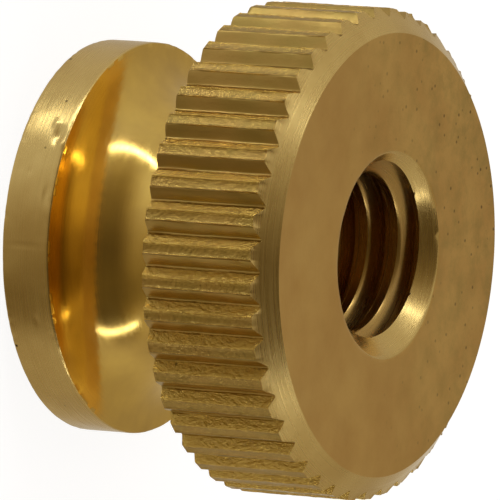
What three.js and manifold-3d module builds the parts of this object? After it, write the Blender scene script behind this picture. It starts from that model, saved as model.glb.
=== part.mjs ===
// A knurled thumb nut turned from one piece of brass bar: a straight-knurled head, a round-bottomed
// groove behind it, and a smooth collar whose flat end bears on the work. The thread runs right through.
// Millimetres. +Z is the thread axis, and the origin is the centre of the collar's bearing face.
import * as THREE from "three";
import { mergeVertices } from "three/addons/utils/BufferGeometryUtils.js";
import Module from "manifold-3d";

// Overall
const HEIGHT = 6.7;
const HEAD_RADIUS = 5;
const COLLAR_RADIUS = 4;

// Lengths along the axis
const COLLAR_LENGTH = 1.07;
const GROOVE_RADIUS = 1.38; // the groove is a half circle, cut with a round-nosed tool
const HEAD_START = COLLAR_LENGTH + 2 * GROOVE_RADIUS;

// Turned edges
const FACE_RADIUS = 4.5; // where the large front chamfer meets the flat front face
const FRONT_CHAMFER_LENGTH = 0.4;
const EDGE_BREAK = 0.03; // on the edge of the bearing face and on the head's back edge

// Straight knurl, rolled into the head's rim
const TEETH = 46;
const KNURL_DEPTH = 0.18;
const CREST_SHARE = 0.36; // share of the tooth pitch that is left as the crest
const ROOT_SHARE = 0.1; // share that is the floor of the groove between two teeth

// M4 coarse thread, right-handed, with a 90 degree countersink at both ends
const PITCH = 0.7;
const MINOR_RADIUS = 1.65;
const MAJOR_RADIUS = 2;
const COUNTERSINK_RADIUS = 2.1;
const THREAD_START = -1.35; // where the thread's root starts above +X, in pitches, below the nut

// Fineness of the round surfaces
const BODY_SIDES = 2 * TEETH; // straight sides in each turned circle
const BORE_SIDES = 32; // straight sides in the bore, and lengths in each turn of the thread
const GROOVE_STEPS = 8;

const TOOL_OVERRUN = 1; // how far a cutting tool reaches past the nut

const wasm = await Module();
wasm.setup();

// A closed three.js geometry as a manifold-3d solid, its shared vertices merged.
function solidFrom(geometry) {
  const bare = geometry.clone();
  bare.deleteAttribute("normal");
  bare.deleteAttribute("uv");
  const merged = mergeVertices(bare, 1e-5);
  return new wasm.Manifold(
    new wasm.Mesh({
      numProp: 3,
      vertProperties: new Float32Array(merged.attributes.position.array),
      triVerts: new Uint32Array(merged.index.array),
    }),
  );
}

// A manifold-3d solid as a three.js geometry.
function geometryFrom(solid) {
  const mesh = solid.getMesh();
  const geometry = new THREE.BufferGeometry();
  geometry.setAttribute("position", new THREE.BufferAttribute(mesh.vertProperties, 3));
  geometry.setIndex(new THREE.BufferAttribute(mesh.triVerts, 1));
  geometry.computeVertexNormals();
  return geometry;
}

// A solid turned about +Z from its half section, a list of [radius, height] points that starts and
// ends on the axis.
function turned(section, sides) {
  const points = section.map(([radius, height]) => new THREE.Vector2(radius, height));
  return solidFrom(new THREE.LatheGeometry(points, sides).rotateX(Math.PI / 2));
}

// The outside of the nut before it is knurled: collar, groove and head.
function blank() {
  const groove = [];
  for (let i = 1; i < GROOVE_STEPS; i++) {
    const angle = (Math.PI * i) / GROOVE_STEPS;
    const radius = COLLAR_RADIUS - GROOVE_RADIUS * Math.sin(angle);
    const height = COLLAR_LENGTH + GROOVE_RADIUS * (1 - Math.cos(angle));
    groove.push([radius, height]);
  }
  const section = [
    [0, 0],
    [COLLAR_RADIUS - EDGE_BREAK, 0],
    [COLLAR_RADIUS, EDGE_BREAK],
    [COLLAR_RADIUS, COLLAR_LENGTH],
    ...groove,
    [COLLAR_RADIUS, HEAD_START],
    [HEAD_RADIUS - EDGE_BREAK, HEAD_START],
    [HEAD_RADIUS, HEAD_START + EDGE_BREAK],
    [HEAD_RADIUS, HEIGHT - FRONT_CHAMFER_LENGTH],
    [FACE_RADIUS, HEIGHT],
    [0, HEIGHT],
  ];
  return turned(section, BODY_SIDES);
}

// What the drill and the two countersinks cut away.
function drilledHole() {
  const countersinkDepth = COUNTERSINK_RADIUS - MINOR_RADIUS;
  const section = [
    [0, -TOOL_OVERRUN],
    [COUNTERSINK_RADIUS + TOOL_OVERRUN, -TOOL_OVERRUN],
    [MINOR_RADIUS, countersinkDepth],
    [MINOR_RADIUS, HEIGHT - countersinkDepth],
    [COUNTERSINK_RADIUS + TOOL_OVERRUN, HEIGHT + TOOL_OVERRUN],
    [0, HEIGHT + TOOL_OVERRUN],
  ];
  return turned(section, BORE_SIDES);
}

// A long bar with the knurl's outline. The head is cut to it, so its crests stand a little proud and
// the turned rim forms the tops of the teeth.
function knurledBar() {
  const proud = 0.02;
  const tooth = (2 * Math.PI) / TEETH;
  const flank = ((1 - CREST_SHARE - ROOT_SHARE) / 2) * tooth;
  const halfCrest = (CREST_SHARE / 2) * tooth - (flank * proud) / KNURL_DEPTH;
  const halfRoot = (ROOT_SHARE / 2) * tooth;
  const points = [];
  const addPoint = (radius, angle) => {
    points.push(new THREE.Vector2(radius * Math.cos(angle), radius * Math.sin(angle)));
  };
  for (let i = 0; i < TEETH; i++) {
    const crest = i * tooth;
    const root = crest + tooth / 2;
    addPoint(HEAD_RADIUS + proud, crest - halfCrest);
    addPoint(HEAD_RADIUS + proud, crest + halfCrest);
    addPoint(HEAD_RADIUS - KNURL_DEPTH, root - halfRoot);
    addPoint(HEAD_RADIUS - KNURL_DEPTH, root + halfRoot);
  }
  const bar = new THREE.ExtrudeGeometry(new THREE.Shape(points), {
    depth: HEIGHT + 2 * TOOL_OVERRUN,
    bevelEnabled: false,
  });
  return solidFrom(bar.translate(0, 0, -TOOL_OVERRUN));
}

// What the tap cuts away: a ridge with the section of a 60 degree thread, wound along the axis from
// below the nut to above it. Its foot lies inside the drilled hole.
function tappedThread() {
  const foot = 0.1;
  const halfTip = PITCH / 16;
  const halfFoot = halfTip + Math.tan(Math.PI / 6) * (MAJOR_RADIUS - MINOR_RADIUS + foot);
  const corners = [
    [MINOR_RADIUS - foot, -halfFoot],
    [MAJOR_RADIUS, -halfTip],
    [MAJOR_RADIUS, halfTip],
    [MINOR_RADIUS - foot, halfFoot],
  ];
  const turns = Math.ceil(HEIGHT / PITCH) + 2;
  const steps = turns * BORE_SIDES;
  const positions = [];
  for (let i = 0; i <= steps; i++) {
    const angle = (2 * Math.PI * i) / BORE_SIDES;
    const height = PITCH * (THREAD_START + i / BORE_SIDES);
    for (const [radius, rise] of corners) {
      positions.push(radius * Math.cos(angle), radius * Math.sin(angle), height + rise);
    }
  }
  const faces = [];
  for (let i = 0; i < steps; i++) {
    for (let j = 0; j < 4; j++) {
      const a = 4 * i + j;
      const b = 4 * i + ((j + 1) % 4);
      faces.push(a, a + 4, b, b, a + 4, b + 4);
    }
  }
  const end = 4 * steps;
  faces.push(0, 1, 2, 0, 2, 3);
  faces.push(end, end + 2, end + 1, end, end + 3, end + 2);
  const ridge = new THREE.BufferGeometry();
  ridge.setAttribute("position", new THREE.Float32BufferAttribute(positions, 3));
  ridge.setIndex(faces);
  return solidFrom(ridge);
}

// The finished nut: turned, knurled, drilled and tapped.
function knurledNut() {
  const brass = new THREE.MeshStandardMaterial({ color: 0xb5954f, roughness: 0.3, metalness: 1 });
  const head = blank().intersect(knurledBar());
  const solid = head.subtract(drilledHole()).subtract(tappedThread());
  const mesh = new THREE.Mesh(geometryFrom(solid), brass);
  mesh.name = "knurled_nut";
  return mesh;
}

const nut = new THREE.Group();
nut.add(knurledNut());

export default nut;
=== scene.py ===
# A knurled brass thumb nut, standing on its collar: a rolled straight knurl on the head, a round groove
# behind it, a plain collar, and a tapped hole with a countersink at each end.
# Lengths are millimetres until the finished mesh is scaled to metres. +Z is the thread axis.
import math

import bpy
import numpy as np
from mathutils import Matrix, Vector, noise


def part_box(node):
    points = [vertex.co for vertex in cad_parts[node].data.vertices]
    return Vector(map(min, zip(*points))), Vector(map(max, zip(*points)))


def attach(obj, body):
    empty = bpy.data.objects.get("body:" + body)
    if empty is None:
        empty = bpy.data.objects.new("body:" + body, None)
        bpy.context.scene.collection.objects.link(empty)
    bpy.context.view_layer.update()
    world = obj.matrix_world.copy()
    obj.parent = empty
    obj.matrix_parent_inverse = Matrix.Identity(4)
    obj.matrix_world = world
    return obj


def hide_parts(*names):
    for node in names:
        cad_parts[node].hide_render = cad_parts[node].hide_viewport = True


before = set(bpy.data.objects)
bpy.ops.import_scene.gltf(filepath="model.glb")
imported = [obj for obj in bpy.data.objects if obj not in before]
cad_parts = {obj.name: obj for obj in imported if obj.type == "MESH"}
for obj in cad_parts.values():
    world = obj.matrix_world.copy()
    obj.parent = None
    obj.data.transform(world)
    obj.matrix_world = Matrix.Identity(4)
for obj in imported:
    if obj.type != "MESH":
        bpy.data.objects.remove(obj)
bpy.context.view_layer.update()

LOW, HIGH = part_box("knurled_nut")
MM = 0.001

# Sizes that the frame gives
HEIGHT = (HIGH.z - LOW.z) / MM
HEAD_RADIUS = (HIGH.x - LOW.x) / 2 / MM

# Turned outline
COLLAR_RADIUS = 4.0
COLLAR_LENGTH = 1.07
GROOVE_RADIUS = 1.38
HEAD_START = COLLAR_LENGTH + 2 * GROOVE_RADIUS
FACE_RADIUS = 4.5
FRONT_CHAMFER = 0.4
EDGE_BREAK = 0.03
EDGE_ROUND = 0.035  # what a file leaves on the collar's front edge

# Knurl
TEETH = 46
KNURL_DEPTH = 0.18
CREST_RELIEF = 0.02  # from the lips of a crest down to the valleys between them
KNURL_TURN = 0.28  # how far the first groove's middle lies behind +X, in shares of a tooth
KNURL_WANDER = 0.16  # how far the pattern wanders round the rim, in shares of a tooth
KNURL_TEAR = 0.06  # depth of the torn skin
KNURL_BURR = 0.07  # length of the longest splinters at the front ends of the teeth
BURR_OUTWARD = 0.35  # which way a splinter is pushed
BURR_FORWARD = 0.94
KNURL_SEED = 11.0
# Where the mesh has its columns, in shares of a tooth: 0 is the middle of a groove, 0.31 to 0.62 the crest
TOOTH_COLUMNS = [0, 0.04, 0.075, 0.12, 0.17, 0.22, 0.265, 0.29, 0.31, 0.34,
                 0.4, 0.47, 0.54, 0.59, 0.62, 0.645, 0.675, 0.8, 0.925, 0.96]

# Thread
PITCH = 0.7
MINOR_RADIUS = 1.65
MAJOR_RADIUS = 2.0
COUNTERSINK_RADIUS = 2.1
THREAD_START = -1.35
# Where the thread has its rows, in shares of the pitch from the middle of its root
THREAD_ROWS = [0, 0.055, 0.085, 0.15, 0.22, 0.29, 0.335, 0.37, 0.5, 0.63,
               0.665, 0.71, 0.78, 0.85, 0.915, 0.945]

CONE_TOLERANCE = 0.02  # how near a point has to be to a countersink's cone to lie on it
MOUTH_ROUND = 0.015  # what the countersink's edge on the front face is rounded by

# Columns in each ring of the mesh
KNURL_COLUMNS = TEETH * len(TOOTH_COLUMNS)
BODY_COLUMNS = KNURL_COLUMNS // 2
FACE_COLUMNS = KNURL_COLUMNS // 4
BORE_COLUMNS = KNURL_COLUMNS // 8

# Rows of the mesh in each band, and the radii of its rings across the flat faces
ROUND_ROWS = 3
COLLAR_ROWS = 20
GROOVE_ROWS = 36
BROKEN_EDGE_ROWS = 3
KNURL_ROWS = 40
CHAMFER_ROWS = 6
BEARING_RING = 2.9
BACK_RING = (COLLAR_RADIUS + HEAD_RADIUS) / 2 - 0.1
FACE_RINGS = [(BODY_COLUMNS, 4.3), (FACE_COLUMNS, 3.2), (BORE_COLUMNS, 2.2)]

OFF_RIM = -10.0  # the rim attribute off the rim, so low that a face half on the rim doesn't count as rim
SHARP_FROM = math.radians(38)  # edges that turn by more than this stay sharp

COLLAR_SWELL = 0.006  # unevenness of the collar's rim
COLLAR_NICKS = 0.016  # raggedness of its two edges
# Marks of use on the collar: degrees round from +X, height, length round the collar, width, depth
COLLAR_MARKS = [
    (-116, 0.84, 0.34, 0.20, 0.060),
    (-113, 0.97, 0.20, 0.09, -0.030),
    (-120, 0.70, 0.16, 0.10, -0.024),
    (-97.5, 0.90, 0.34, 0.07, 0.030),
    (-104, 0.42, 0.12, 0.10, 0.012),
    (-82, 0.50, 0.05, 0.80, 0.010),
    (-60, 0.66, 0.22, 0.07, 0.016),
    (-38, 0.35, 0.10, 0.12, 0.014),
    (24, 0.75, 0.30, 0.06, 0.020),
    (98, 0.55, 0.16, 0.12, 0.018),
    (171, 0.30, 0.40, 0.05, 0.018),
]


# ---------------------------------------------------------------- mesh

class Body:
    """The nut's mesh as it grows: points, faces, each face's zone and each point's place on the rim."""

    def __init__(self):
        self.points = []
        self.rim = []
        self.faces = []
        self.zones = []

    def ring(self, angles, radius, height, rim=OFF_RIM):
        """Adds a ring of points and returns their numbers. radius and height are one value or one each."""
        first = len(self.points)
        radii = np.broadcast_to(radius, len(angles))
        heights = np.broadcast_to(height, len(angles))
        for angle, r, z in zip(angles, radii, heights):
            self.points.append((r * math.cos(angle), r * math.sin(angle), z))
            self.rim.append(rim)
        return list(range(first, len(self.points)))

    def face(self, corners, zone):
        """Adds a face, leaving out corners that fall together."""
        kept = [c for i, c in enumerate(corners) if c != corners[i - 1]]
        if len(set(kept)) > 2:
            self.faces.append(kept)
            self.zones.append(zone)

    def join(self, a, b, zone):
        """Fills between two rings. Ring b may have as many points as ring a, or twice or half as many."""
        if len(a) == len(b):
            for i in range(len(a)):
                j = (i + 1) % len(a)
                self.face((a[i], a[j], b[j], b[i]), zone)
        elif len(b) == 2 * len(a):
            for i in range(len(a)):
                j = (i + 1) % len(a)
                left, middle, right = b[2 * i], b[2 * i + 1], b[(2 * i + 2) % len(b)]
                self.face((a[i], middle, left), zone)
                self.face((a[i], a[j], middle), zone)
                self.face((a[j], right, middle), zone)
        else:
            for i in range(len(b)):
                j = (i + 1) % len(b)
                left, middle, right = a[2 * i], a[2 * i + 1], a[(2 * i + 2) % len(a)]
                self.face((b[i], left, middle), zone)
                self.face((b[i], middle, b[j]), zone)
                self.face((b[j], middle, right), zone)


def even_angles(count):
    return [2 * math.pi * i / count for i in range(count)]


def tooth_angles():
    """The knurl's columns, closer together where a tooth has its lips."""
    pitch = 2 * math.pi / TEETH
    return [(tooth + share - KNURL_TURN) * pitch for tooth in range(TEETH) for share in TOOTH_COLUMNS]


def collar_dents(angle, height):
    """How far the collar's rim is knocked in, in mm. A raised burr is below zero."""
    depth = 0.0
    for degrees, middle, length, width, deep in COLLAR_MARKS:
        turn = (angle - math.radians(degrees) + math.pi) % (2 * math.pi) - math.pi
        across = turn * COLLAR_RADIUS / (length / 2)
        along = (height - middle) / (width / 2)
        depth += deep * math.exp(-across * across - along * along)
    return depth


def rough(angle, height, radius, step, seed):
    """Smooth noise from -1 to 1 over a turned surface. step is the size of its lumps, in mm."""
    place = Vector((radius * math.cos(angle), radius * math.sin(angle), height))
    return noise.noise(place / step + Vector((seed, 0, 0)))


def collar_ring(body, angles, radius, height):
    """A ring of the collar's rim, with its dents and the slight unevenness of its edges."""
    at_edge = math.exp(-height / 0.12) + math.exp((height - COLLAR_LENGTH) / 0.10)
    radii = []
    for angle in angles:
        uneven = COLLAR_SWELL * rough(angle, height, radius, 0.55, 3.1)
        ragged = COLLAR_NICKS * at_edge * rough(angle, height, radius, 0.16, 8.7)
        radii.append(radius - collar_dents(angle, height) + uneven + min(0, ragged))
    return body.ring(angles, radii, height)


def turn_collar(body, inner):
    """The bearing face and the collar's rim. Returns the ring at the foot of the groove."""
    face = body.ring(even_angles(FACE_COLUMNS), BEARING_RING, 0)
    body.join(inner, face, "bearing")
    angles = even_angles(BODY_COLUMNS)
    last = body.ring(angles, COLLAR_RADIUS - EDGE_BREAK, 0)
    body.join(face, last, "bearing")
    for step in range(1, ROUND_ROWS + 1):
        turn = step / ROUND_ROWS * math.pi / 2
        radius = COLLAR_RADIUS - EDGE_BREAK * (1 - math.sin(turn))
        ring = collar_ring(body, angles, radius, EDGE_BREAK * (1 - math.cos(turn)))
        body.join(last, ring, "collar")
        last = ring
    top = COLLAR_LENGTH - EDGE_ROUND
    for row in range(1, COLLAR_ROWS + 1):
        height = EDGE_BREAK + (top - EDGE_BREAK) * row / COLLAR_ROWS
        ring = collar_ring(body, angles, COLLAR_RADIUS, height)
        body.join(last, ring, "collar")
        last = ring
    for step in range(1, ROUND_ROWS):
        turn = step / ROUND_ROWS * math.pi / 2
        height = top + EDGE_ROUND * math.sin(turn)
        ring = collar_ring(body, angles, COLLAR_RADIUS - EDGE_ROUND * (1 - math.cos(turn)), height)
        body.join(last, ring, "collar")
        last = ring
    return last


def turn_groove(body, last):
    """The round groove and the head's flat back. Returns the head's back edge."""
    angles = even_angles(BODY_COLUMNS)
    for row in range(1, GROOVE_ROWS + 1):
        turn = math.pi * row / GROOVE_ROWS
        radius = COLLAR_RADIUS - GROOVE_RADIUS * math.sin(turn)
        height = COLLAR_LENGTH + GROOVE_RADIUS * (1 - math.cos(turn))
        ring = body.ring(angles, radius, height)
        body.join(last, ring, "groove")
        last = ring
    back = body.ring(angles, BACK_RING, HEAD_START)
    body.join(last, back, "back")
    edge = body.ring(tooth_angles(), HEAD_RADIUS - EDGE_BREAK, HEAD_START, 0)
    body.join(back, edge, "back")
    return edge


def turn_rim(body, last):
    """The head's rim as plain rings, which the knurl is then rolled into. Returns the front face's edge."""
    angles = tooth_angles()
    front = HEIGHT - FRONT_CHAMFER
    back = HEAD_START + EDGE_BREAK
    bands = [
        ("knurl", BROKEN_EDGE_ROWS, 0, HEAD_RADIUS - EDGE_BREAK, HEAD_RADIUS, HEAD_START, back),
        ("knurl", KNURL_ROWS, 1, HEAD_RADIUS, HEAD_RADIUS, back, front),
        ("chamfer", CHAMFER_ROWS, 2, HEAD_RADIUS, FACE_RADIUS, front, HEIGHT),
    ]
    for zone, rows, rim, start_radius, end_radius, start, end in bands:
        for row in range(1, rows + 1):
            share = row / rows
            radius = start_radius + (end_radius - start_radius) * share
            ring = body.ring(angles, radius, start + (end - start) * share, rim + share)
            body.join(last, ring, zone)
            last = ring
    return last


def face_off(body, last):
    """The flat front face, in to the edge of the countersink, which is lightly rounded."""
    for count, radius in FACE_RINGS:
        ring = body.ring(even_angles(count), radius, HEIGHT)
        body.join(last, ring, "face")
        last = ring
    mouth = body.ring(even_angles(BORE_COLUMNS), COUNTERSINK_RADIUS + MOUTH_ROUND, HEIGHT)
    body.join(last, mouth, "face")
    return mouth


def thread_radius(share):
    """The radius of the thread's wall at a share of the pitch from the middle of its root."""
    from_root = abs((share + 0.5) % 1 - 0.5) * PITCH
    flank = MAJOR_RADIUS - (from_root - PITCH / 16) / math.tan(math.pi / 6)
    return min(MAJOR_RADIUS, max(MINOR_RADIUS, flank))


def countersink_radius(height):
    """The radius that the nearer countersink has at this height."""
    return COUNTERSINK_RADIUS - min(height, HEIGHT - height)


def on_countersink(point):
    """Whether a point of the hole's wall lies on one of its two cones."""
    x, y, height = point
    return abs(math.hypot(x, y) - countersink_radius(height)) < CONE_TOLERANCE


def hole_column(column):
    """One column of the hole's wall from the bearing face up, as (row, radius, height). The rows climb
    with the thread."""
    rows = len(THREAD_ROWS)
    points = []
    row = 0
    while True:
        turns = row // rows + THREAD_ROWS[row % rows]
        height = PITCH * (THREAD_START + turns + column / BORE_COLUMNS)
        if height >= HEIGHT:
            return points
        if height > 0:
            wall = thread_radius(turns)
            points.append((row, max(wall, countersink_radius(height)), height))
        row += 1


def sharpen_countersinks(points):
    """Slides the point nearest each crossing of cone and thread onto the crossing, for a clean edge."""
    moved = list(points)
    for (row, _, z0), (_, _, z1) in zip(points, points[1:]):
        share = THREAD_ROWS[row % len(THREAD_ROWS)]
        step = (z1 - z0) / PITCH
        gap0 = thread_radius(share) - countersink_radius(z0)
        gap1 = thread_radius(share + step) - countersink_radius(z1)
        if gap0 * gap1 >= 0:
            continue
        part = gap0 / (gap0 - gap1)
        height = z0 + part * (z1 - z0)
        index = row - points[0][0] + (1 if part > 0.5 else 0)
        moved[index] = (points[index][0], countersink_radius(height), height)
    return moved


def tap_hole(body, inner, mouth):
    """The hole's wall: two countersinks and the thread between them, closing the mesh."""
    rows = len(THREAD_ROWS)
    columns = []
    for column in range(BORE_COLUMNS):
        angle = 2 * math.pi * column / BORE_COLUMNS
        numbers = {}
        for row, radius, height in sharpen_countersinks(hole_column(column)):
            numbers[row] = body.ring([angle], radius, height)[0]
        columns.append(numbers)

    def corner(column, row):
        """The point there, or the end ring's where the row has run out of the nut."""
        if column == BORE_COLUMNS:
            column, row = 0, row + rows
        numbers = columns[column]
        if row in numbers:
            return numbers[row]
        return inner[column] if row < min(numbers) else mouth[column]

    highest = max(max(numbers) for numbers in columns) + 1
    for column in range(BORE_COLUMNS):
        for row in range(-rows, highest):
            corners = (
                corner(column, row),
                corner(column, row + 1),
                corner(column + 1, row + 1),
                corner(column + 1, row),
            )
            bevelled = all(on_countersink(body.points[number]) for number in corners)
            body.face(corners, "countersink" if bevelled else "bore")


def turned_mesh(materials):
    """The whole nut but for its knurl: one closed mesh in mm, with its finishes and rim attribute."""
    body = Body()
    inner = body.ring(even_angles(BORE_COLUMNS), COUNTERSINK_RADIUS, 0)
    foot = turn_collar(body, inner)
    edge = turn_groove(body, foot)
    shoulder = turn_rim(body, edge)
    mouth = face_off(body, shoulder)
    tap_hole(body, inner, mouth)
    mesh = bpy.data.meshes.new("turned_blank")
    mesh.from_pydata(body.points, [], body.faces)
    for material in materials.values():
        mesh.materials.append(material)
    order = list(materials)
    mesh.polygons.foreach_set("material_index", [order.index(zone) for zone in body.zones])
    rim = mesh.attributes.new("rim", "FLOAT", "POINT")
    rim.data.foreach_set("value", body.rim)
    mesh.update()
    return mesh


# ---------------------------------------------------------------- nodes

MATH = "ShaderNodeMath"


def add(tree, kind, *inputs, out=0, named=None, **settings):
    """Adds one node with its settings and returns the output wanted. Each input is a value, or a socket
    to link."""
    node = tree.nodes.new(kind)
    for name, value in settings.items():
        setattr(node, name, value)
    filled = list(enumerate(inputs)) + list((named or {}).items())
    for key, value in filled:
        if isinstance(key, str):
            socket = next(s for s in node.inputs if key in (s.identifier, s.name))
        else:
            socket = node.inputs[key]
        if isinstance(value, bpy.types.NodeSocket):
            tree.links.new(value, socket)
        elif value is not None:
            socket.default_value = value
    if isinstance(out, str):
        return next(s for s in node.outputs if out in (s.identifier, s.name))
    return node.outputs[out] if node.outputs else node


def shape_curve(socket, points):
    """Gives a Float Curve node these points, joined by straight or smooth lines."""
    curve = socket.node.mapping.curves[0]
    while len(curve.points) < len(points):
        curve.points.new(0.5, 0.5)
    for point, (place, value) in zip(curve.points, points):
        point.location = (place, value)
        point.handle_type = "AUTO_CLAMPED"
    socket.node.mapping.update()


# A groove's section over one tooth, 0 at its floor and 1 at the crests: a V with a rounded floor. The roll
# leans a little, so one side is steeper.
GROOVE_SECTION = [(0, 0), (0.04, 0.035), (0.075, 0.14), (0.265, 0.9), (0.29, 0.985), (0.31, 1),
                  (0.62, 1), (0.645, 0.985), (0.675, 0.9), (0.925, 0.13), (0.96, 0.035), (1, 0)]

# The crest's own section: a lip at each edge, where metal was pushed up, round the turned surface
CREST_SECTION = [(0, 0.9), (0.29, 0.9), (0.31, 1), (0.34, 0.6), (0.4, 0.4), (0.47, 0.5),
                 (0.54, 0.4), (0.59, 0.6), (0.62, 1), (0.645, 0.9), (1, 0.9)]

# How torn the metal is: the roll drags along the steep side of each tooth and burnishes the other
TEAR_SECTION = [(0, 0.3), (0.04, 0.6), (0.09, 1), (0.28, 1), (0.31, 0.9), (0.34, 0.55), (0.45, 0.35),
                (0.58, 0.4), (0.62, 0.5), (0.66, 0.06), (0.94, 0.06), (1, 0.3)]


def knurl_tree():
    """Geometry Nodes that roll a straight knurl into the points of a turned rim."""
    tree = bpy.data.node_groups.new("roll_knurl", "GeometryNodeTree")
    sockets = tree.interface
    sockets.new_socket("Geometry", in_out="INPUT", socket_type="NodeSocketGeometry")
    sockets.new_socket("Geometry", in_out="OUTPUT", socket_type="NodeSocketGeometry")
    for name in ("Teeth", "Depth", "Relief", "Wander", "Roughness", "Burr", "Seed"):
        sockets.new_socket(name, in_out="INPUT", socket_type="NodeSocketFloat")
    sockets.new_socket("Finish", in_out="INPUT", socket_type="NodeSocketMaterial")
    given = tree.nodes.new("NodeGroupInput").outputs

    # Where a point stands: how far along the rim, and how far through its tooth
    place = add(tree, "GeometryNodeInputPosition")
    x = add(tree, "ShaderNodeSeparateXYZ", place, out="X")
    y = add(tree, "ShaderNodeSeparateXYZ", place, out="Y")
    rim = add(tree, "GeometryNodeInputNamedAttribute", "rim", data_type="FLOAT", out="Attribute")
    behind = add(tree, MATH, rim, 0.0, operation="ADD", use_clamp=True)
    onward = add(tree, MATH, rim, 1.0, operation="SUBTRACT", use_clamp=True)
    inward = add(tree, MATH, rim, 2.0, operation="SUBTRACT", use_clamp=True)
    angle = add(tree, MATH, y, x, operation="ARCTAN2")
    pitch = add(tree, MATH, 2 * math.pi, given["Teeth"], operation="DIVIDE")
    turns = add(tree, MATH, angle, pitch, operation="DIVIDE")
    ahead = add(tree, MATH, turns, TEETH + KNURL_TURN + 0.0001, operation="ADD")
    share = add(tree, MATH, ahead, operation="FRACT")
    groove = add(tree, "ShaderNodeFloatCurve", 1.0, share)
    shape_curve(groove, GROOVE_SECTION)
    crest = add(tree, "ShaderNodeFloatCurve", 1.0, share)
    shape_curve(crest, CREST_SECTION)
    tearing = add(tree, "ShaderNodeFloatCurve", 1.0, share)
    shape_curve(tearing, TEAR_SECTION)

    # Unevenness: the pattern's slow wander, the crests' swell and the torn skin
    seeded = add(tree, "ShaderNodeCombineXYZ", given["Seed"], 0.0, 0.0)
    moved = add(tree, "ShaderNodeVectorMath", place, seeded, operation="ADD")
    slow = add(tree, "ShaderNodeVectorMath", moved, (1.9, 1.9, 0.8), operation="MULTIPLY")
    wander = add(tree, "ShaderNodeTexNoise", named={"Vector": slow, "Scale": 1.0, "Detail": 2.0})
    lumps = add(tree, "ShaderNodeVectorMath", moved, (3.1, 3.1, 1.5), operation="MULTIPLY")
    height = add(tree, "ShaderNodeTexNoise", named={"Vector": lumps, "Scale": 1.3, "Detail": 2.0})
    grain = add(tree, "ShaderNodeVectorMath", moved, (6.5, 6.5, 5.5), operation="MULTIPLY")
    torn = add(tree, "ShaderNodeTexNoise", named={"Vector": grain, "Scale": 1.0, "Detail": 3.0})

    # The cut radius: the groove, then the crest's own relief, then the torn skin
    open_share = add(tree, MATH, 1.0, groove, operation="SUBTRACT")
    cut = add(tree, MATH, open_share, given["Depth"], operation="MULTIPLY")
    hollow = add(tree, MATH, 1.0, crest, operation="SUBTRACT")
    valley = add(tree, MATH, hollow, given["Relief"], operation="MULTIPLY")
    swell = add(tree, MATH, height, 1.6, 0.1, operation="MULTIPLY_ADD")
    uneven = add(tree, MATH, valley, swell, operation="MULTIPLY")
    crest_only = add(tree, MATH, groove, 3.0, operation="POWER")
    smooth = add(tree, MATH, uneven, crest_only, cut, operation="MULTIPLY_ADD")
    tear = add(tree, MATH, torn, 0.3, operation="SUBTRACT")
    skin = add(tree, MATH, tear, given["Roughness"], operation="MULTIPLY")
    sunk = add(tree, MATH, skin, tearing, smooth, operation="MULTIPLY_ADD")
    radius = add(tree, MATH, HEAD_RADIUS, sunk, operation="SUBTRACT")

    # The two ends of the knurl lie on the broken back edge and on the cone of the front chamfer
    slope = FRONT_CHAMFER / (HEAD_RADIUS - FACE_RADIUS)
    above_back = add(tree, MATH, radius, HEAD_RADIUS - EDGE_BREAK, operation="SUBTRACT")
    back_rise = add(tree, MATH, above_back, 0.0, operation="MAXIMUM")
    back = add(tree, MATH, back_rise, HEAD_START, operation="ADD")
    above_face = add(tree, MATH, radius, FACE_RADIUS, operation="SUBTRACT")
    front = add(tree, MATH, above_face, -slope, HEIGHT, operation="MULTIPLY_ADD")
    start = add(tree, MATH, radius, HEAD_RADIUS - EDGE_BREAK, operation="MINIMUM")
    outer = add(tree, "ShaderNodeMix", named={"Factor_Float": behind, "A_Float": start, "B_Float": radius})
    rim_radius = add(tree, "ShaderNodeMix",
                     named={"Factor_Float": inward, "A_Float": outer, "B_Float": FACE_RADIUS})
    z_behind = add(tree, "ShaderNodeMix",
                   named={"Factor_Float": behind, "A_Float": HEAD_START, "B_Float": back})
    z_onward = add(tree, "ShaderNodeMix",
                   named={"Factor_Float": onward, "A_Float": z_behind, "B_Float": front})
    z_rim = add(tree, "ShaderNodeMix",
                named={"Factor_Float": inward, "A_Float": z_onward, "B_Float": HEIGHT})

    # Burrs where the teeth run out over the front chamfer
    beyond = add(tree, MATH, rim, 2.03, operation="SUBTRACT")
    from_edge = add(tree, MATH, beyond, operation="ABSOLUTE")
    near_edge = add(tree, "ShaderNodeMapRange", from_edge, 0.0, 0.12, 1.0, 0.0)
    splinters = add(tree, "ShaderNodeTexNoise", named={"Vector": moved, "Scale": 8.0, "Detail": 2.0})
    ragged = add(tree, "ShaderNodeMapRange", splinters, 0.42, 0.75, 0.0, 1.0)
    raised = add(tree, MATH, near_edge, ragged, operation="MULTIPLY")
    pushed = add(tree, MATH, raised, groove, operation="MULTIPLY")
    lipped = add(tree, MATH, pushed, crest, operation="MULTIPLY")
    burr = add(tree, MATH, lipped, given["Burr"], operation="MULTIPLY")
    burr_radius = add(tree, MATH, burr, BURR_OUTWARD, rim_radius, operation="MULTIPLY_ADD")
    burr_height = add(tree, MATH, burr, BURR_FORWARD, z_rim, operation="MULTIPLY_ADD")

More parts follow.
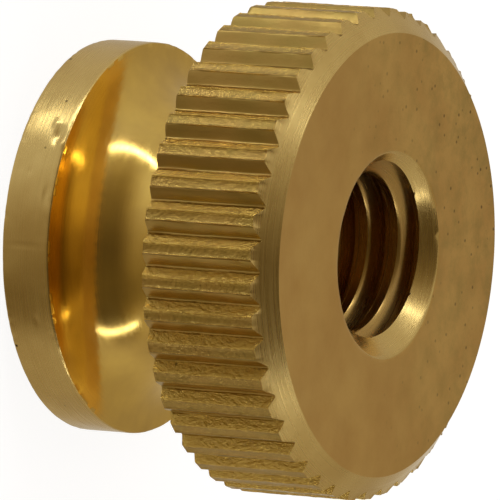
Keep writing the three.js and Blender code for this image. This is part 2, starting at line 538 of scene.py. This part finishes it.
    # The whole pattern wanders a little round the rim, but not at the edge of the front face
    drift = add(tree, MATH, wander, 0.5, operation="SUBTRACT")
    wide = add(tree, MATH, drift, given["Wander"], operation="MULTIPLY")
    free = add(tree, MATH, 1.0, inward, operation="SUBTRACT")
    held = add(tree, MATH, wide, free, operation="MULTIPLY")
    new_angle = add(tree, MATH, held, pitch, angle, operation="MULTIPLY_ADD")
    cosine = add(tree, MATH, new_angle, operation="COSINE")
    sine = add(tree, MATH, new_angle, operation="SINE")
    new_x = add(tree, MATH, burr_radius, cosine, operation="MULTIPLY")
    new_y = add(tree, MATH, burr_radius, sine, operation="MULTIPLY")
    new_place = add(tree, "ShaderNodeCombineXYZ", new_x, new_y, burr_height)

    on_rim = add(tree, "FunctionNodeCompare", rim, 0.0, data_type="FLOAT", operation="GREATER_EQUAL")
    rolled = add(tree, "GeometryNodeSetPosition", given["Geometry"], on_rim, new_place)
    marked = add(tree, "GeometryNodeStoreNamedAttribute", data_type="FLOAT", domain="POINT",
                 named={"Geometry": rolled, "Name": "torn", "Value": tearing})
    real = add(tree, "GeometryNodeRealizeInstances", marked)
    before_chamfer = add(tree, "FunctionNodeCompare", rim, 2.0, data_type="FLOAT", operation="LESS_EQUAL")
    knurled = add(tree, "FunctionNodeBooleanMath", on_rim, before_chamfer, operation="AND")
    finished = add(tree, "GeometryNodeSetMaterial", real, knurled, given["Finish"])
    tree.links.new(finished, tree.nodes.new("NodeGroupOutput").inputs["Geometry"])
    return tree


def roll_knurl(blank, finish):
    """Runs the knurl's nodes on the blank and returns the plain mesh that they leave."""
    tree = knurl_tree()
    modifier = blank.modifiers.new("roll_knurl", "NODES")
    modifier.node_group = tree
    settings = {
        "Teeth": float(TEETH),
        "Depth": KNURL_DEPTH,
        "Relief": CREST_RELIEF,
        "Wander": KNURL_WANDER,
        "Roughness": KNURL_TEAR,
        "Burr": KNURL_BURR,
        "Seed": KNURL_SEED,
        "Finish": finish,
    }
    for item in tree.interface.items_tree:
        if item.in_out == "INPUT" and item.name in settings:
            modifier[item.identifier] = settings[item.name]
    graph = bpy.context.evaluated_depsgraph_get()
    mesh = bpy.data.meshes.new_from_object(blank.evaluated_get(graph), depsgraph=graph)
    blank.modifiers.remove(modifier)
    return mesh


def knurled_nut(materials):
    """The finished nut, in metres, in place of the plain one in the frame."""
    blank = bpy.data.objects.new("turned_blank", turned_mesh(materials))
    bpy.context.scene.collection.objects.link(blank)
    bpy.context.view_layer.update()
    mesh = roll_knurl(blank, materials["knurl"])
    bpy.data.objects.remove(blank)
    mesh.name = "brass_thumb_nut"
    mesh.transform(Matrix.Scale(MM, 4))
    mesh.shade_smooth()
    mesh.set_sharp_from_angle(angle=SHARP_FROM)
    nut = bpy.data.objects.new("brass_thumb_nut", mesh)
    bpy.context.scene.collection.objects.link(nut)
    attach(nut, "root")
    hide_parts("knurled_nut")
    return nut


# ---------------------------------------------------------------- finishes

def linear(colour):
    """An sRGB hex colour as linear RGBA."""
    channels = [int(colour[i:i + 2], 16) / 255 for i in (1, 3, 5)]
    return (*(c / 12.92 if c <= 0.04045 else ((c + 0.055) / 1.055) ** 2.4 for c in channels), 1)


BRASS = linear("#EDD086")  # clean free-cutting brass
BROWNED = linear("#CEAC63")  # the same brass after years of handling
WARMED = linear("#EDC87A")  # clean brass that air has warmed in colour
HANDLED = linear("#E0B76C")  # the same where fingers have dulled it
GOLDEN = linear("#FAD672")  # fresh metal, bared or burnished
OLIVE = linear("#B3A05E")  # where the tarnish has gone greenish
DULLED = linear("#C0A55C")  # the skin of a tooth's crest, less green than that
SHADED = linear("#C4A062")  # the brown skin of a wall that is never rubbed
PIT = linear("#4A3514")  # dirt held in a pit


def metal(name):
    """A new all-metal material. Returns it with its node tree and its shader."""
    material = bpy.data.materials.new(name)
    material.use_nodes = True
    tree = material.node_tree
    shader = tree.nodes["Principled BSDF"]
    shader.inputs["Metallic"].default_value = 1
    return material, tree, shader


def millimetres(tree):
    """The place on the nut, in mm."""
    place = add(tree, "ShaderNodeTexCoord", out="Object")
    return add(tree, "ShaderNodeVectorMath", place, operation="SCALE", named={"Scale": 1 / MM})


def turned_lines(tree, width, reach):
    """The fine rings a lathe tool leaves: noise in lines `width` mm apart, each about `reach` radians
    long."""
    place = millimetres(tree)
    flat = add(tree, "ShaderNodeVectorMath", place, (1, 1, 0), operation="MULTIPLY")
    radius = add(tree, "ShaderNodeVectorMath", flat, operation="LENGTH", out="Value")
    around = add(tree, "ShaderNodeVectorMath", flat, operation="NORMALIZE")
    drawn = add(tree, "ShaderNodeVectorMath", around, operation="SCALE", named={"Scale": 1 / reach})
    height = add(tree, "ShaderNodeSeparateXYZ", place, out="Z")
    up = add(tree, MATH, height, 1 / width, operation="MULTIPLY")
    lift = add(tree, "ShaderNodeCombineXYZ", 0.0, 0.0, up)
    vector = add(tree, "ShaderNodeVectorMath", drawn, lift, operation="ADD")
    out = add(tree, MATH, radius, 1 / width, operation="MULTIPLY")
    return add(tree, "ShaderNodeTexNoise", noise_dimensions="4D",
               named={"Vector": vector, "W": out, "Scale": 1.0, "Detail": 2.0, "Roughness": 0.6})


def pits(tree, spacing, size, share):
    """Small pits, 1 inside one. Of the cells, `spacing` mm apart, a `share` hold a pit `size` mm
    across."""
    place = millimetres(tree)
    cells = add(tree, "ShaderNodeTexVoronoi", named={"Vector": place, "Scale": 1 / spacing})
    colour = cells.node.outputs["Color"]
    chance = add(tree, "ShaderNodeSeparateColor", colour, out="Red")
    chosen = add(tree, MATH, chance, share, operation="LESS_THAN")
    reach = size / 2 / spacing
    inside = add(tree, "ShaderNodeMapRange", cells, reach * 0.6, reach * 1.3, 1.0, 0.0)
    return add(tree, MATH, inside, chosen, operation="MULTIPLY")


def faced_brass():
    """Free-cutting brass, faced in the lathe and dulled by handling: satin, browned unevenly, with fine
    pits and only a trace of the tool's rings."""
    material, tree, shader = metal("faced_brass")
    place = millimetres(tree)
    broad = add(tree, "ShaderNodeTexNoise", named={"Vector": place, "Scale": 0.8, "Detail": 5.0})
    stain = add(tree, "ShaderNodeTexNoise", named={"Vector": place, "Scale": 1.7, "Detail": 6.0,
                                                   "Roughness": 0.65})
    far = add(tree, "ShaderNodeVectorMath", place, (-0.45, 0.9, 0), operation="DOT_PRODUCT", out="Value")
    side = add(tree, "ShaderNodeMapRange", far, -1.5, 4.2, 0.0, 0.75)
    toned = add(tree, "ShaderNodeMapRange", broad, 0.35, 0.65, 0.0, 1.0)
    base = add(tree, "ShaderNodeMix", data_type="RGBA", out="Result_Color",
               named={"Factor_Float": toned, "A_Color": WARMED, "B_Color": HANDLED})
    worn = add(tree, "ShaderNodeMapRange", stain, 0.42, 0.72, 0.0, 1.0)
    olive = add(tree, MATH, worn, side, operation="MULTIPLY")
    stained = add(tree, "ShaderNodeMix", data_type="RGBA", out="Result_Color",
                  named={"Factor_Float": olive, "A_Color": base, "B_Color": OLIVE})
    holes = add(tree, MATH, pits(tree, 0.27, 0.07, 0.9), side, operation="MULTIPLY")
    dark = add(tree, MATH, holes, 0.95, operation="MULTIPLY", use_clamp=True)
    colour = add(tree, "ShaderNodeMix", data_type="RGBA", out="Result_Color",
                 named={"Factor_Float": dark, "A_Color": stained, "B_Color": PIT})
    tree.links.new(colour, shader.inputs["Base Color"])
    rough_range = add(tree, "ShaderNodeMapRange", stain, 0.3, 0.7, 0.34, 0.46)
    tree.links.new(rough_range, shader.inputs["Roughness"])
    rings = turned_lines(tree, 0.05, 1.2)
    grain = add(tree, "ShaderNodeTexNoise", named={"Vector": place, "Scale": 16.0, "Detail": 3.0})
    relief = add(tree, MATH, rings, grain, operation="ADD")
    sunk = add(tree, MATH, relief, dark, operation="SUBTRACT")
    bump = add(tree, "ShaderNodeBump", named={"Height": sunk, "Distance": 0.004 * MM, "Strength": 0.55})
    tree.links.new(bump, shader.inputs["Normal"])
    return material


def turned_brass(name, tone, width, low, high, depth, pitted):
    """Brass straight from a sharp lathe tool: bright, with fine rings that draw a highlight out across
    them."""
    material, tree, shader = metal(name)
    place = millimetres(tree)
    broad = add(tree, "ShaderNodeTexNoise", named={"Vector": place, "Scale": 0.8, "Detail": 5.0})
    toned = add(tree, "ShaderNodeMapRange", broad, 0.38, 0.7, 0.0, 0.6)
    base = add(tree, "ShaderNodeMix", data_type="RGBA", out="Result_Color",
               named={"Factor_Float": toned, "A_Color": tone, "B_Color": BROWNED})
    holes = pits(tree, 0.5, 0.06, pitted)
    colour = add(tree, "ShaderNodeMix", data_type="RGBA", out="Result_Color",
                 named={"Factor_Float": holes, "A_Color": base, "B_Color": PIT})
    tree.links.new(colour, shader.inputs["Base Color"])
    rings = turned_lines(tree, width, 0.5)
    rough_range = add(tree, "ShaderNodeMapRange", rings, 0.3, 0.7, low, high)
    tree.links.new(rough_range, shader.inputs["Roughness"])
    sunk = add(tree, MATH, rings, holes, operation="SUBTRACT")
    bump = add(tree, "ShaderNodeBump", named={"Height": sunk, "Distance": depth * MM, "Strength": 0.6})
    tree.links.new(bump, shader.inputs["Normal"])
    return material


def knurled_brass():
    """Brass that a knurling roll has pressed: each tooth keeps its turned crest, is burnished smooth down
    one side and torn down the other, which glitters."""
    material, tree, shader = metal("knurled_brass")
    place = millimetres(tree)
    torn = add(tree, "ShaderNodeAttribute", attribute_name="torn", out="Fac")
    broad = add(tree, "ShaderNodeTexNoise", named={"Vector": place, "Scale": 1.1, "Detail": 4.0})
    toned = add(tree, "ShaderNodeMapRange", broad, 0.35, 0.65, 0.0, 1.0)
    kept = add(tree, "ShaderNodeMix", data_type="RGBA", out="Result_Color",
               named={"Factor_Float": toned, "A_Color": BROWNED, "B_Color": DULLED})
    bared = add(tree, "ShaderNodeMapRange", torn, 0.3, 0.9, 0.0, 1.0)
    base = add(tree, "ShaderNodeMix", data_type="RGBA", out="Result_Color",
               named={"Factor_Float": bared, "A_Color": kept, "B_Color": GOLDEN})
    specks = add(tree, "ShaderNodeTexNoise", named={"Vector": place, "Scale": 7.0, "Detail": 5.0,
                                                    "Roughness": 0.7})
    dirt = add(tree, "ShaderNodeMapRange", specks, 0.6, 0.7, 0.0, 0.6)
    held = add(tree, MATH, dirt, torn, operation="MULTIPLY")
    colour = add(tree, "ShaderNodeMix", data_type="RGBA", out="Result_Color",
                 named={"Factor_Float": held, "A_Color": base, "B_Color": PIT})
    tree.links.new(colour, shader.inputs["Base Color"])
    rough_range = add(tree, "ShaderNodeMapRange", torn, 0.1, 0.9, 0.3, 0.14)
    tree.links.new(rough_range, shader.inputs["Roughness"])
    grain = add(tree, "ShaderNodeTexNoise", named={"Vector": place, "Scale": 11.0, "Detail": 4.0,
                                                   "Roughness": 0.6})
    depth = add(tree, "ShaderNodeMapRange", torn, 0.1, 0.9, 0.05, 1.0)
    height = add(tree, MATH, grain, depth, operation="MULTIPLY")
    bump = add(tree, "ShaderNodeBump", named={"Height": height, "Distance": 0.12 * MM, "Strength": 0.9})
    tree.links.new(bump, shader.inputs["Normal"])
    return material


def tapped_brass():
    """Brass cut by a tap: a dull, faintly torn wall, browned because no cloth reaches it."""
    material, tree, shader = metal("tapped_brass")
    place = millimetres(tree)
    broad = add(tree, "ShaderNodeTexNoise", named={"Vector": place, "Scale": 1.5, "Detail": 4.0})
    base = add(tree, "ShaderNodeMix", data_type="RGBA", out="Result_Color",
               named={"Factor_Float": broad, "A_Color": BROWNED, "B_Color": SHADED})
    tree.links.new(base, shader.inputs["Base Color"])
    lines = turned_lines(tree, 0.08, 1.5)
    rough_range = add(tree, "ShaderNodeMapRange", lines, 0.3, 0.7, 0.2, 0.32)
    tree.links.new(rough_range, shader.inputs["Roughness"])
    bump = add(tree, "ShaderNodeBump", named={"Height": lines, "Distance": 0.001 * MM, "Strength": 0.5})
    tree.links.new(bump, shader.inputs["Normal"])
    return material


def finishes():
    """Each zone of the nut and its finish."""
    faced = faced_brass()
    return {
        "bearing": faced,
        "collar": turned_brass("turned_brass", BRASS, 0.03, 0.2, 0.34, 0.004, 0.2),
        "groove": turned_brass("burnished_brass", GOLDEN, 0.045, 0.1, 0.2, 0.002, 0.0),
        "back": faced,
        "knurl": knurled_brass(),
        "chamfer": turned_brass("chamfered_brass", BRASS, 0.035, 0.22, 0.36, 0.004, 0.1),
        "face": faced,
        "countersink": turned_brass("countersunk_brass", BRASS, 0.04, 0.2, 0.32, 0.002, 0.0),
        "bore": tapped_brass(),
    }


# ---------------------------------------------------------------- studio and camera

VIEW_AZIMUTH = math.radians(3.1)
VIEW_ELEVATION = math.radians(28.72)
VIEW_ROLL = math.radians(4.11)  # the camera lies on its side, with the nut's axis towards the right
VIEW_DISTANCE = 250.0  # from the middle of the front face
VIEW_WIDTH = 10.1  # what the frame takes in at that distance
FACE_OFFSET = (2.798, -0.107)  # where the middle of the front face stands in the frame, right and up

# The studio's brightness low down and high up, at degrees round from the camera's own side
LOW_LIGHT = [(-180, 0.85), (-150, 0.46), (-120, 0.47), (-90, 0.54), (-55, 0.58), (-30, 0.5), (0, 0.33),
             (25, 0.23), (45, 0.17), (62, 0.28), (75, 0.42), (100, 0.38), (135, 0.42), (180, 0.85)]
HIGH_LIGHT = [(-180, 0.34), (-120, 0.5), (-95, 0.55), (-80, 0.46), (-60, 0.34), (-40, 0.2), (-10, 0.13),
              (10, 0.095), (70, 0.09), (85, 0.15), (105, 0.45), (140, 0.36), (180, 0.34)]

DIM_LIGHT = linear("#FFDEA2")  # dark parts of the room are warmer
FULL_LIGHT = linear("#FFFFFF")

# Two long narrow lamps: degrees round, lean outwards, half width, height of the foot, strength
LAMPS = [(-72, 9, 2.2, -0.57, 7.5), (78, 12, 2.0, -0.25, 4.5)]


def camera_axes():
    """The directions to the right of, up from and back from a camera that looks at the front face."""
    sine, cosine = math.sin(VIEW_AZIMUTH), math.cos(VIEW_AZIMUTH)
    level = math.cos(VIEW_ELEVATION)
    back = Vector((sine * level, -cosine * level, math.sin(VIEW_ELEVATION)))
    side = Vector((cosine, sine, 0))
    rise = back.cross(side)
    right = math.cos(VIEW_ROLL) * rise - math.sin(VIEW_ROLL) * side
    up = -math.sin(VIEW_ROLL) * rise - math.cos(VIEW_ROLL) * side
    return right, up, back


def place_camera():
    """Stands the camera off from the front face, then turns it a little to frame the whole nut."""
    right, up, back = camera_axes()
    middle = Vector((0, 0, HEIGHT))
    place = middle + VIEW_DISTANCE * back
    aim = middle - FACE_OFFSET[0] * right - FACE_OFFSET[1] * up
    back = (place - aim).normalized()
    right = up.cross(back).normalized()
    up = back.cross(right)
    camera = bpy.data.objects.new("camera", bpy.data.cameras.new("camera"))
    camera.data.sensor_width = 36
    camera.data.lens = camera.data.sensor_width * VIEW_DISTANCE / VIEW_WIDTH
    camera.data.clip_start = 0.01
    camera.data.clip_end = 10
    rotation = Matrix((right, up, back)).transposed().to_4x4()
    camera.matrix_world = Matrix.Translation(place * MM) @ rotation
    bpy.context.scene.collection.objects.link(camera)
    bpy.context.scene.camera = camera


def lamp_light(tree, ray, level, side, front, lamp):
    """What one long lamp adds: a narrow band round part of a circle that leans a little outwards."""
    way, lean, half_width, foot, strength = lamp
    sine, cosine = math.sin(math.radians(way)), math.cos(math.radians(way))
    tilt = math.radians(lean)
    rise = Vector((0, 0, -math.copysign(math.sin(tilt), way)))
    plane = (cosine * side - sine * front) * math.cos(tilt) + rise
    off = add(tree, "ShaderNodeVectorMath", ray, plane, operation="DOT_PRODUCT", out="Value")
    off = add(tree, MATH, off, operation="ABSOLUTE")
    wide = math.sin(math.radians(half_width))
    band = add(tree, "ShaderNodeMapRange", off, wide * 0.6, wide * 1.4, 1.0, 0.0,
               interpolation_type="SMOOTHSTEP")
    towards = sine * side + cosine * front
    facing = add(tree, "ShaderNodeVectorMath", ray, towards, operation="DOT_PRODUCT", out="Value")
    same_side = add(tree, MATH, facing, 0.0, operation="GREATER_THAN")
    half = add(tree, MATH, band, same_side, operation="MULTIPLY")
    above_foot = add(tree, "ShaderNodeMapRange", level, foot, foot + 0.2, 0.0, 1.0)
    below_top = add(tree, "ShaderNodeMapRange", level, 0.6, 0.85, 1.0, 0.0)
    length = add(tree, MATH, above_foot, below_top, operation="MULTIPLY")
    lit = add(tree, MATH, half, length, operation="MULTIPLY")
    return add(tree, MATH, lit, strength, operation="MULTIPLY")


def studio_world():
    """A studio drawn as light by direction: pale surroundings, a dark side, and two long narrow lamps."""
    world = bpy.data.worlds.new("studio")
    bpy.context.scene.world = world
    world.use_nodes = True
    tree = world.node_tree
    side = Vector((math.cos(VIEW_AZIMUTH), math.sin(VIEW_AZIMUTH), 0))
    front = Vector((math.sin(VIEW_AZIMUTH), -math.cos(VIEW_AZIMUTH), 0))
    ray = add(tree, "ShaderNodeTexCoord", out="Generated")
    level = add(tree, "ShaderNodeSeparateXYZ", ray, out="Z")
    sideways = add(tree, "ShaderNodeVectorMath", ray, side, operation="DOT_PRODUCT", out="Value")
    forwards = add(tree, "ShaderNodeVectorMath", ray, front, operation="DOT_PRODUCT", out="Value")
    turn = add(tree, MATH, sideways, forwards, operation="ARCTAN2")
    share = add(tree, MATH, turn, 1 / (2 * math.pi), 0.5, operation="MULTIPLY_ADD")
    low = add(tree, "ShaderNodeFloatCurve", 1.0, share)
    shape_curve(low, [((way + 180) / 360, value) for way, value in LOW_LIGHT])
    high = add(tree, "ShaderNodeFloatCurve", 1.0, share)
    shape_curve(high, [((way + 180) / 360, value) for way, value in HIGH_LIGHT])
    rise = add(tree, "ShaderNodeMapRange", level, -0.45, 0.35, 0.0, 1.0, interpolation_type="SMOOTHSTEP")
    total = add(tree, "ShaderNodeMix", named={"Factor_Float": rise, "A_Float": low, "B_Float": high})
    for lamp in LAMPS:
        total = add(tree, MATH, total, lamp_light(tree, ray, level, side, front, lamp), operation="ADD")
    whiteness = add(tree, "ShaderNodeMapRange", total, 0.12, 0.7, 0.0, 1.0)
    colour = add(tree, "ShaderNodeMix", data_type="RGBA", out="Result_Color",
                 named={"Factor_Float": whiteness, "A_Color": DIM_LIGHT, "B_Color": FULL_LIGHT})
    background = tree.nodes["Background"]
    tree.links.new(colour, background.inputs["Color"])
    tree.links.new(total, background.inputs["Strength"])


def white_floor():
    """A pale sweep of board under the nut, lit from above. Neither shows in the metal."""
    size = 3.0
    mesh = bpy.data.meshes.new("floor")
    corners = [(-size, -size, 0), (size, -size, 0), (size, size, 0), (-size, size, 0)]
    mesh.from_pydata(corners, [], [(0, 1, 2, 3)])
    floor = bpy.data.objects.new("floor", mesh)
    bpy.context.scene.collection.objects.link(floor)
    material = bpy.data.materials.new("white_board")
    material.use_nodes = True
    shader = material.node_tree.nodes["Principled BSDF"]
    shader.inputs["Base Color"].default_value = linear("#8C8C8C")
    shader.inputs["Roughness"].default_value = 0.9
    shader.inputs["Emission Color"].default_value = (1, 1, 1, 1)
    shader.inputs["Emission Strength"].default_value = 0.88
    mesh.materials.append(material)
    floor.visible_glossy = False

    lamp = bpy.data.lights.new("overhead", "AREA")
    lamp.shape = "DISK"
    lamp.size = 1.2
    lamp.energy = 3.0
    overhead = bpy.data.objects.new("overhead", lamp)
    overhead.location = (0, 0, 1.0)
    overhead.visible_camera = False
    overhead.visible_glossy = False
    bpy.context.scene.collection.objects.link(overhead)


place_camera()
studio_world()
white_floor()
knurled_nut(finishes())
bpy.context.scene.view_settings.view_transform = "Standard"
